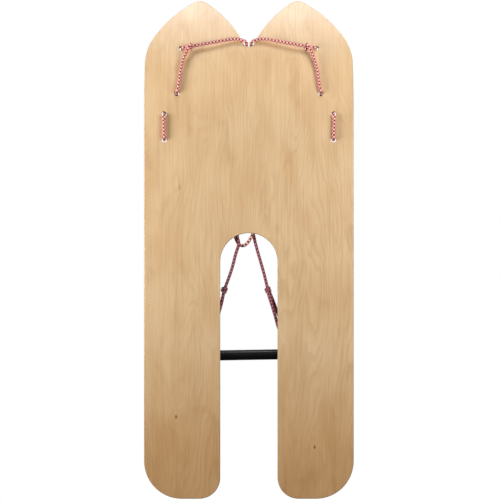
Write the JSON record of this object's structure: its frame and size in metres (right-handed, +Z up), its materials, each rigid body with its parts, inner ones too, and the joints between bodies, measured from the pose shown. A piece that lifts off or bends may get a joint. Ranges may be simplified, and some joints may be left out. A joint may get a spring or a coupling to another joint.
{
  "type": "wooden toboggan",
  "caption": "Flat plywood snow toboggan laced up at a two-lobed nose, with a long tail cut-out, a rope bridle and a rope-held handle bar.",
  "frame": {"origin": "under the middle of the board, on the plane that the part stands on", "axes": "+Y from the tail to the nose, +X across the board, +Z up with the running surface facing down"},
  "size_m": [0.45, 1.0876, 0.1268],
  "materials": {
    "plywood": "clear satin varnish on light close-grained veneer",
    "rope": "braided cord, dark red with pale checks",
    "bar": "satin black tube",
    "plug": "satin black moulded plug"
  },
  "bodies": {
    "board": {"board": "plywood", "nose_lacing_left": "rope", "nose_lacing_right": "rope", "side_stitch_left": "rope", "side_stitch_right": "rope", "brace_line_left": "rope", "brace_line_right": "rope", "hitch_left": "rope", "hitch_right": "rope"},
    "reins": {"bridle_rope": "rope", "handle_rope": "rope", "eye_knot_left": "rope", "eye_knot_right": "rope"},
    "handle": {"eye_loop_left": "rope", "eye_loop_right": "rope", "handle_tube": "bar", "end_plug_left": "plug", "end_plug_right": "plug"}
  },
  "joints": [
    {"name": "bridle_swing", "type": "hinge", "parent": "board", "child": "reins", "pos_m": [0, 0.4366, 0.0646], "axis": [-1, 0, 0], "range_deg": [0, 150]},
    {"name": "bar_swing", "type": "hinge", "parent": "reins", "child": "handle", "pos_m": [0, -0.096, 0.0176], "axis": [-1, 0, 0], "range_deg": [0, 110]}
  ]
}
